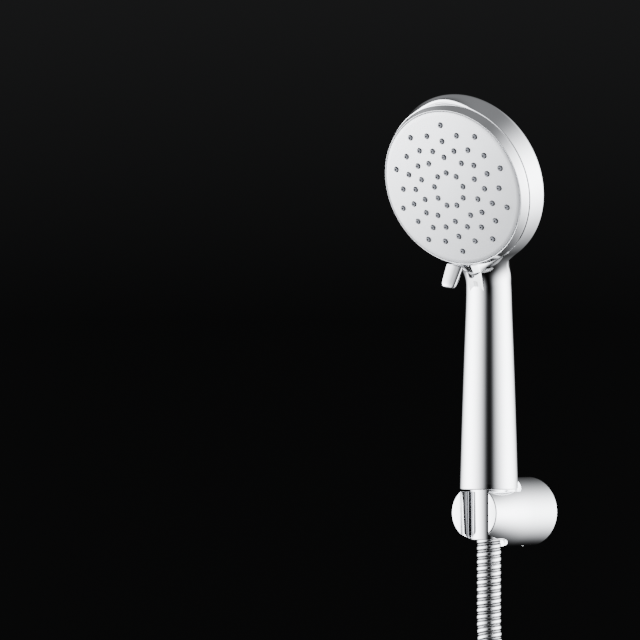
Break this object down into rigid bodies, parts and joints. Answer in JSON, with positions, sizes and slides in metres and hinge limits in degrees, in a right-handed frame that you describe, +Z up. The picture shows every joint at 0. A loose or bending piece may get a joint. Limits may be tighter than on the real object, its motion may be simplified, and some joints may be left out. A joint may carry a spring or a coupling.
{
  "type": "handheld shower head",
  "caption": "Handheld shower head with a round multi-nozzle face and spray lever, standing in a conical wall bracket, with a coiled metal hose and its union nuts.",
  "frame": {"origin": "centre of the bracket's wall face", "axes": "+Y into the wall, +Z up, +X to the right of someone who faces the wall"},
  "size_m": [0.1954, 0.1025, 0.6292],
  "materials": {
    "chromed_metal": "polished",
    "plated_plastic": "polished",
    "satin_plastic": "satin",
    "grey_silicone": "satin",
    "black_rubber": "matte",
    "white_plastic": "matte",
    "brass": "satin",
    "steel": "satin",
    "hose": "gloss"
  },
  "bodies": {
    "bracket": {"wall_bracket": "chromed_metal", "wall_plate": "brass", "wall_screw_upper": "steel", "wall_screw_lower": "steel", "bracket_grub_screw": "steel"},
    "hose": {"upper_ferrule": "brass", "swivel_ring": "white_plastic", "hose_run": "hose", "hose_coil": "hose", "hose_tail": "hose", "hose_tie": "black_rubber", "lower_ferrule": "brass"},
    "handset": {"handle_shell": "plated_plastic", "inlet_connector": "white_plastic", "inlet_o_ring": "black_rubber", "flow_limiter": "white_plastic", "tube_seal": "black_rubber", "waterway_tube": "white_plastic", "distributor": "white_plastic", "diverter_seal": "black_rubber", "spray_chamber": "white_plastic", "centre_screw": "steel", "nozzle_mat": "grey_silicone", "face_plate": "satin_plastic", "conical_nut": "chromed_metal", "hose_washer": "black_rubber", "filter_screen": "steel"},
    "selector": {"selector_ring": "plated_plastic", "selector_lever": "plated_plastic", "diverter_disc": "white_plastic"},
    "supply_union": {"supply_nut": "chromed_metal", "supply_washer": "black_rubber"}
  },
  "joints": [
    {"name": "handset_lift", "type": "slide", "parent": "bracket", "child": "hose", "axis": [0, 0, 1], "range_m": [0, 0.06]},
    {"name": "handset_swivel", "type": "hinge", "parent": "hose", "child": "handset", "pos_m": [0, -0.0457, 0], "axis": [0, 0, 1], "range_deg": [-75, 75]},
    {"name": "spray_select", "type": "hinge", "parent": "handset", "child": "selector", "pos_m": [0, -0.087, 0.2074], "axis": [0, -0.9532, -0.3024], "range_deg": [-30, 30]},
    {"name": "supply_nut_spin", "type": "hinge", "parent": "hose", "child": "supply_union", "pos_m": [0.088, -0.0236, -0.35], "axis": [0, 0, 1], "continuous": true}
  ]
}
